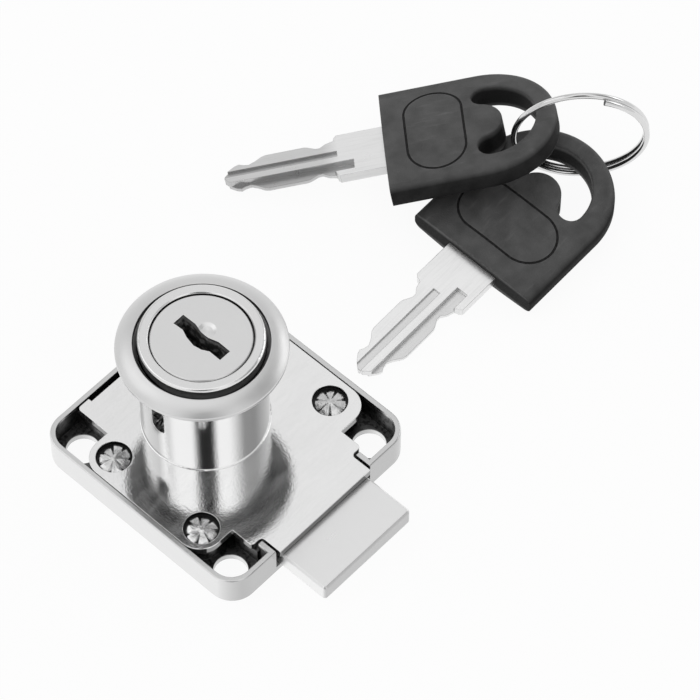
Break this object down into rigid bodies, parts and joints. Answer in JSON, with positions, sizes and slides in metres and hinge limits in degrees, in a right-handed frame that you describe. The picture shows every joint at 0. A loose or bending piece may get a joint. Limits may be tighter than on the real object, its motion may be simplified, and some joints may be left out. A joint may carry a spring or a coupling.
{
  "type": "furniture lock",
  "caption": "Drawer lock with a square case, round barrel, trim ring and sliding bolt, and keys with moulded bows on a split ring.",
  "frame": {"origin": "on the barrel's axis, at the flat back face of the case", "axes": "+Z along the barrel towards the keyway, +X the way the bolt slides out"},
  "size_m": [0.0624, 0.0996, 0.026],
  "materials": {
    "case_zinc": "satin nickel plate on die-cast zinc",
    "cover_polish": "polished nickel plate",
    "rivet_metal": "staked, nickel plated",
    "plug_metal": "fine satin face",
    "steel": "plain",
    "bolt_metal": "satin nickel plate",
    "trim_metal": "satin nickel plate",
    "brass": "plain",
    "spring_steel": "drawn wire",
    "blade_metal": "nickel plated",
    "bow_plastic": "fine moulded grain",
    "ring_wire": "bright wire"
  },
  "bodies": {
    "case": {"case_tray": "case_zinc", "cover_barrel": "cover_polish", "cover_rivets": "rivet_metal"},
    "plug": {"plug": "plug_metal", "drive_pin": "steel", "wafer_spring_1": "spring_steel", "wafer_spring_2": "spring_steel", "wafer_spring_3": "spring_steel", "wafer_spring_4": "spring_steel", "wafer_spring_5": "spring_steel", "retaining_spring": "spring_steel"},
    "bolt": {"bolt": "bolt_metal"},
    "trim_ring": {"trim_ring": "trim_metal"},
    "retaining_pin": {"retaining_pin": "brass"},
    "split_ring": {"split_ring": "ring_wire"},
    "key_1": {"key_1_blade": "blade_metal", "key_1_bow": "bow_plastic"},
    "key_2": {"key_2_blade": "blade_metal", "key_2_bow": "bow_plastic"},
    "wafer_1": {"wafer_1": "brass"},
    "wafer_2": {"wafer_2": "brass"},
    "wafer_3": {"wafer_3": "brass"},
    "wafer_4": {"wafer_4": "brass"},
    "wafer_5": {"wafer_5": "brass"}
  },
  "joints": [
    {"name": "plug_turn", "type": "hinge", "parent": "case", "child": "plug", "pos_m": [0, 0, 0.015], "axis": [0, 0, 1], "range_deg": [0, 180]},
    {"name": "bolt_slide", "type": "slide", "parent": "case", "child": "bolt", "axis": [-1, 0, 0], "range_m": [0, 0.0088]},
    {"name": "trim_ring_slide", "type": "slide", "parent": "case", "child": "trim_ring", "axis": [0, 0, 1], "range_m": [0, 0.04]},
    {"name": "key_bunch_lift", "type": "slide", "parent": "case", "child": "split_ring", "axis": [0, 0, 1], "range_m": [0, 0.04]},
    {"name": "key_1_swing", "type": "hinge", "parent": "split_ring", "child": "key_1", "pos_m": [0.00182, 0.06576, 0.0105], "axis": [-0.0694, -0.0223, 0.9973], "range_deg": [-30, 20]},
    {"name": "key_2_swing", "type": "hinge", "parent": "split_ring", "child": "key_2", "pos_m": [0.00366, 0.06724, 0.00466], "axis": [-0.2689, -0.5668, 0.7787], "range_deg": [0, 30]},
    {"name": "wafer_1_slide", "type": "slide", "parent": "plug", "child": "wafer_1", "axis": [1, 0, 0], "range_m": [0, 0.0007], "stiffness_N_per_m": 15, "deforming": ["wafer_spring_1"]},
    {"name": "wafer_2_slide", "type": "slide", "parent": "plug", "child": "wafer_2", "axis": [-1, 0, 0], "range_m": [0, 0.0007], "stiffness_N_per_m": 15, "deforming": ["wafer_spring_2"]},
    {"name": "wafer_3_slide", "type": "slide", "parent": "plug", "child": "wafer_3", "axis": [1, 0, 0], "range_m": [0, 0.0007], "stiffness_N_per_m": 15, "deforming": ["wafer_spring_3"]},
    {"name": "wafer_4_slide", "type": "slide", "parent": "plug", "child": "wafer_4", "axis": [-1, 0, 0], "range_m": [0, 0.0007], "stiffness_N_per_m": 15, "deforming": ["wafer_spring_4"]},
    {"name": "wafer_5_slide", "type": "slide", "parent": "plug", "child": "wafer_5", "axis": [1, 0, 0], "range_m": [0, 0.0007], "stiffness_N_per_m": 15, "deforming": ["wafer_spring_5"]},
    {"name": "retaining_pin_slide", "type": "slide", "parent": "plug", "child": "retaining_pin", "axis": [0, 1, 0], "range_m": [0, 0.0006], "stiffness_N_per_m": 30, "deforming": ["retaining_spring"]}
  ],
  "couplings": [
    {"joint": "bolt_slide", "follows": "plug_turn", "m_per_rad": 0.0028}
  ]
}
